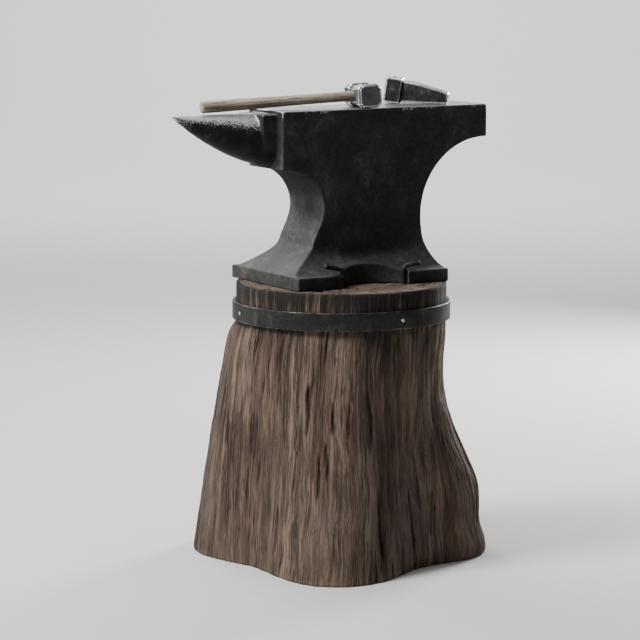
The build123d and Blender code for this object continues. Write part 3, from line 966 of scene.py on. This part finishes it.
def cut_anvil(mesh):
    """The body, face plate, cutting table and horn, cut apart along the welds."""
    table_low, table_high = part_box("cutting_table")
    root_x, weld_x, weld_z = table_low.x, table_high.x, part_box("face_plate")[0].z
    middle_z = (table_low.z + STUMP_TOP) / 2
    at_root = (Vector((root_x, 0, 0)), Vector((1, 0, 0)))
    at_table = (Vector((weld_x, 0, 0)), Vector((1, 0, 0)))
    at_plate = (Vector((0, 0, weld_z)), Vector((0, 0, 1)))

    def in_body(centre):
        return (centre.x > weld_x or centre.z < middle_z) and centre.z < weld_z

    def in_plate(centre):
        return centre.x > weld_x and centre.z > weld_z

    def in_table(centre):
        return root_x < centre.x < weld_x and centre.z > middle_z

    def in_horn(centre):
        return centre.x < root_x and centre.z > middle_z

    return (
        part_of(mesh, "anvil_forging", [at_table, at_plate], in_body),
        part_of(mesh, "face_plate_worn", [at_table, at_plate], in_plate),
        part_of(mesh, "cutting_table_worn", [at_table, at_root], in_table),
        part_of(mesh, "horn_worn", [at_root], in_horn),
    )


def make_anvil(black_iron, face_steel, horn_iron):
    """The welded anvil is worn as one, and then cut along its welds into its pieces."""
    nodes = ["anvil_body", "face_plate", "cutting_table", "horn"]
    wear = dict(voxel=1.5 * MM, rounding=3, dent=0.5 * MM, dent_size=35 * MM, seed=1, chip=0.6 * MM)
    mesh = worn_mesh(nodes, "anvil", **wear)
    points = coordinates(mesh)
    from_tip = points[:, 0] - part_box("horn")[0].x
    blunt = from_tip.min()
    start, full = TIP_POLISHED
    toward_tip = ramp(-from_tip, -start, -full)
    # Remeshing blunts the tip, so it is drawn out again
    points[:, 0] -= ramp(-from_tip, -TIP_BLUNTED, -blunt) * (blunt - TIP_GAP)
    set_coordinates(mesh, points)
    paint_anvil(mesh, points, toward_tip)
    body, plate, table, horn = cut_anvil(mesh)
    place(body, "anvil_on_block", "black_iron", black_iron, "anvil_body")
    place(plate, "anvil_on_block", "face_steel", face_steel, "face_plate")
    place(table, "anvil_on_block", "black_iron", black_iron, "cutting_table")
    place(horn, "anvil_on_block", "horn_iron", horn_iron, "horn")


def make_fittings(hoop_iron, spike_iron, nail_steel):
    """The hoop, and then the spikes, nails and rivets, whose nodes are found by how their names start."""
    wear = dict(voxel=1.4 * MM, rounding=2, dent=0.5 * MM, dent_size=30 * MM, seed=4, chip=0.5 * MM)
    hoop = worn_mesh(["hoop"], "hoop_worn", **wear)
    place(hoop, "anvil_on_block", "hoop_iron", hoop_iron, "hoop")
    spike = dict(voxel=0.8 * MM, dent=0.5 * MM, dent_size=8 * MM)
    nail = dict(voxel=0.5 * MM, dent=0.25 * MM, dent_size=3 * MM)
    rivet = dict(voxel=0.6 * MM, dent=0.4 * MM, dent_size=4 * MM)
    families = [
        ("spike_", "_forged", spike, "spike_iron", spike_iron),
        ("hoop_nail_", "_domed", nail, "nail_steel", nail_steel),
        ("hoop_rivet_", "_domed", rivet, "spike_iron", spike_iron),
    ]
    for start, ending, wear, slot, material in families:
        nodes = sorted(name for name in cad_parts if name.startswith(start))
        for seed, node in enumerate(nodes, 5):
            mesh = worn_mesh([node], node + ending, rounding=2, seed=seed, **wear)
            place(mesh, "anvil_on_block", slot, material, node)


# ---------------------------------------------------------------- the hammers


def make_hand_hammer(hammer_steel, handle_wood, wedge_wood, wedge_steel):
    wear = dict(voxel=0.55 * MM, rounding=1, dent=0.12 * MM, dent_size=10 * MM, seed=40, chip=0.15 * MM)
    head = worn_mesh(["hammer_head"], "hammer_head_worn", keenness=2.2, **wear)
    polish_bevels_and_highlight_top(head, bevels=0.35)
    place(head, "hand_hammer", "hammer_steel", hammer_steel, "hammer_head")
    wear = dict(voxel=0.9 * MM, rounding=2, dent=0.3 * MM, dent_size=50 * MM, seed=41)
    handle = worn_mesh(["hammer_handle"], "hammer_handle_worn", **wear)
    add_fibres(handle)
    place(handle, "hand_hammer", "handle_wood", handle_wood, "hammer_handle")
    wear = dict(voxel=0.4 * MM, rounding=1, dent=0.1 * MM, dent_size=4 * MM, seed=42)
    wedge = worn_mesh(["hammer_wood_wedge"], "hammer_wood_wedge_split", **wear)
    add_fibres(wedge)
    place(wedge, "hand_hammer", "wedge_wood", wedge_wood, "hammer_wood_wedge")
    wear = dict(voxel=0.3 * MM, rounding=1, dent=0.1 * MM, dent_size=3 * MM, seed=43)
    pin = worn_mesh(["hammer_steel_wedge"], "hammer_steel_wedge_worn", **wear)
    place(pin, "hand_hammer", "wedge_steel", wedge_steel, "hammer_steel_wedge")


def polish_bevels_and_highlight_top(mesh, bevels):
    """Brightens a hammer's upper faces with a painted highlight, and by the given share its worn bevels round
    its two ends.
    """
    axes = long_axis(coordinates(mesh))[1]
    facing = np.abs(normals(mesh) @ axes[:, 0])
    on_bevel = ramp(facing, 0.35, 0.55) * ramp(-facing, -0.95, -0.85)
    # Painted highlight on the faces that look up, and wear on the bevels
    set_value(mesh, "polish", np.maximum(bevels * on_bevel, 0.8 * ramp(normals(mesh)[:, 2], 0.45, 0.85)))


def add_fibres(mesh):
    """Gives a shaved wooden piece fibres along its length, with a few open ones, end grain, and painted light
    on top.
    """
    points = coordinates(mesh)
    middle, axes = long_axis(points)
    local = (points - middle) @ axes
    along = local[:, 0]
    sway = 1.2 * MM * smooth_noise(np.column_stack([along * 22, along * 0, along * 0]), 50)
    grain = np.column_stack([local[:, 1] + sway, local[:, 2], along * HANDLE_GRAIN_LENGTH])
    fibres = layered_noise(grain / (3.5 * MM), 2, 51)
    opened = ramp(0.12 - np.abs(smooth_noise(grain / [6 * MM, 6 * MM, 4 * MM], 52)), 0.0, 0.12)
    opened *= ramp(smooth_noise(grain / [12 * MM, 12 * MM, 2 * MM], 53), 0.0, 0.4)
    directions = normals(mesh)
    facing = np.abs(directions @ axes[:, 0])
    sink = (0.35 * (0.5 - fibres / 2) + 0.9 * opened) * MM * (1 - facing)
    set_coordinates(mesh, points - directions * sink[:, None])
    # Darker in the sunken fibres and open cracks: dark wood with painted shade
    set_value(mesh, "depth", np.clip(0.35 * ramp(-fibres, -0.3, 0.8) + 0.8 * opened, 0, 1))
    blotches = layered_noise(grain / [20 * MM, 20 * MM, 1.6 * MM], 2, 54)
    # Blotches of tone, with painted light on the upper side and painted shade underneath
    set_value(mesh, "shade", 0.90 + 0.35 * blotches + 0.40 * directions[:, 2])
    set_value(mesh, "end", ramp(facing, 0.6, 0.9))
    set_value(mesh, "cracked", np.full(len(points), 0.7))
    set_vector(mesh, "grain", grain)
    set_vector(mesh, "ring", local * [100, 900, 300])


def make_peen_head(peen_steel):
    wear = dict(voxel=0.7 * MM, rounding=1, dent=0.3 * MM, dent_size=12 * MM, seed=60, chip=0.4 * MM)
    mesh = worn_mesh(["peen_hammer_head"], "peen_hammer_head_worn", keenness=2.6, **wear)
    polish_bevels_and_highlight_top(mesh, bevels=0.5)
    place(mesh, "loose_head", "peen_steel", peen_steel, "peen_hammer_head")


# ---------------------------------------------------------------- floor, light and camera


def make_floor():
    """A pale floor that curves up into a backdrop."""
    outline = [(FLOOR_FRONT, 0.0)]
    for step in range(SWEEP_STEPS + 1):
        angle = radians(90 * step / SWEEP_STEPS)
        outline.append((SWEEP_START + SWEEP_RADIUS * sin(angle), SWEEP_RADIUS * (1 - cos(angle))))
    outline.append((SWEEP_START + SWEEP_RADIUS, BACKDROP_TOP))
    points = [(x, y, z) for y, z in outline for x in (-FLOOR_HALF_WIDTH, FLOOR_HALF_WIDTH)]
    faces = [(2 * i, 2 * i + 1, 2 * i + 3, 2 * i + 2) for i in range(len(outline) - 1)]
    mesh = bpy.data.meshes.new("studio_floor")
    mesh.from_pydata(points, [], faces)
    shade_smooth(mesh)
    floor = link(mesh, "studio_floor")
    floor.rotation_euler.z = -radians(CAMERA_AZIMUTH)
    graph = Graph("pale_floor")
    speckle = graph.noise(graph.position(), 40.0, 3.0, 0.5)
    color = graph.mix(speckle, grey(0.52), grey(0.56))
    floor.data.materials.append(graph.finish(color, 0.8, 0.0, graph.bump(speckle, 0.0004, 0.2)))


def from_target(azimuth, elevation):
    """The direction at an azimuth, which is 0 on the camera's side, and at an elevation, in degrees."""
    turn = radians(azimuth + CAMERA_AZIMUTH)
    lift = radians(elevation)
    return Vector((-sin(turn) * cos(lift), -cos(turn) * cos(lift), sin(lift)))


def aim(name, data, target, direction, distance):
    """Puts a camera or a lamp at a distance from a target, and turns it to the target."""
    holder = bpy.data.objects.new(name, data)
    holder.location = target + direction * distance
    holder.rotation_mode = "QUATERNION"
    holder.rotation_quaternion = (-direction).to_track_quat("-Z", "Y")
    bpy.context.scene.collection.objects.link(holder)
    return holder


def make_light(name, azimuth, elevation, distance, size, power, target):
    light = bpy.data.lights.new(name, "AREA")
    light.energy = power
    light.size = size
    aim(name, light, target, from_target(azimuth, elevation), distance)


def make_studio():
    world = bpy.data.worlds.new("studio")
    world.use_nodes = True
    background = world.node_tree.nodes["Background"]
    background.inputs["Color"].default_value = WORLD_COLOR
    background.inputs["Strength"].default_value = WORLD_STRENGTH
    bpy.context.scene.world = world
    for name, settings in LIGHTS.items():
        make_light(name, *settings)


def make_camera():
    camera = bpy.data.cameras.new("camera")
    camera.lens = CAMERA_LENS
    camera.sensor_width = CAMERA_SENSOR
    holder = aim("camera", camera, CAMERA_TARGET, from_target(0, CAMERA_PITCH), CAMERA_DISTANCE)
    bpy.context.scene.camera = holder


def main():
    make_camera()
    woods = {name: wood(name, **look) for name, look in WOODS.items()}
    metals = {name: metal(name, **look) for name, look in METALS.items()}
    make_stump(woods["stump_wood"])
    make_anvil(metals["black_iron"], metals["face_steel"], metals["horn_iron"])
    make_fittings(metals["hoop_iron"], metals["spike_iron"], metals["nail_steel"])
    make_hand_hammer(metals["hammer_steel"], woods["handle_wood"], woods["wedge_wood"], metals["nail_steel"])
    make_peen_head(metals["peen_steel"])
    make_floor()
    make_studio()


main()
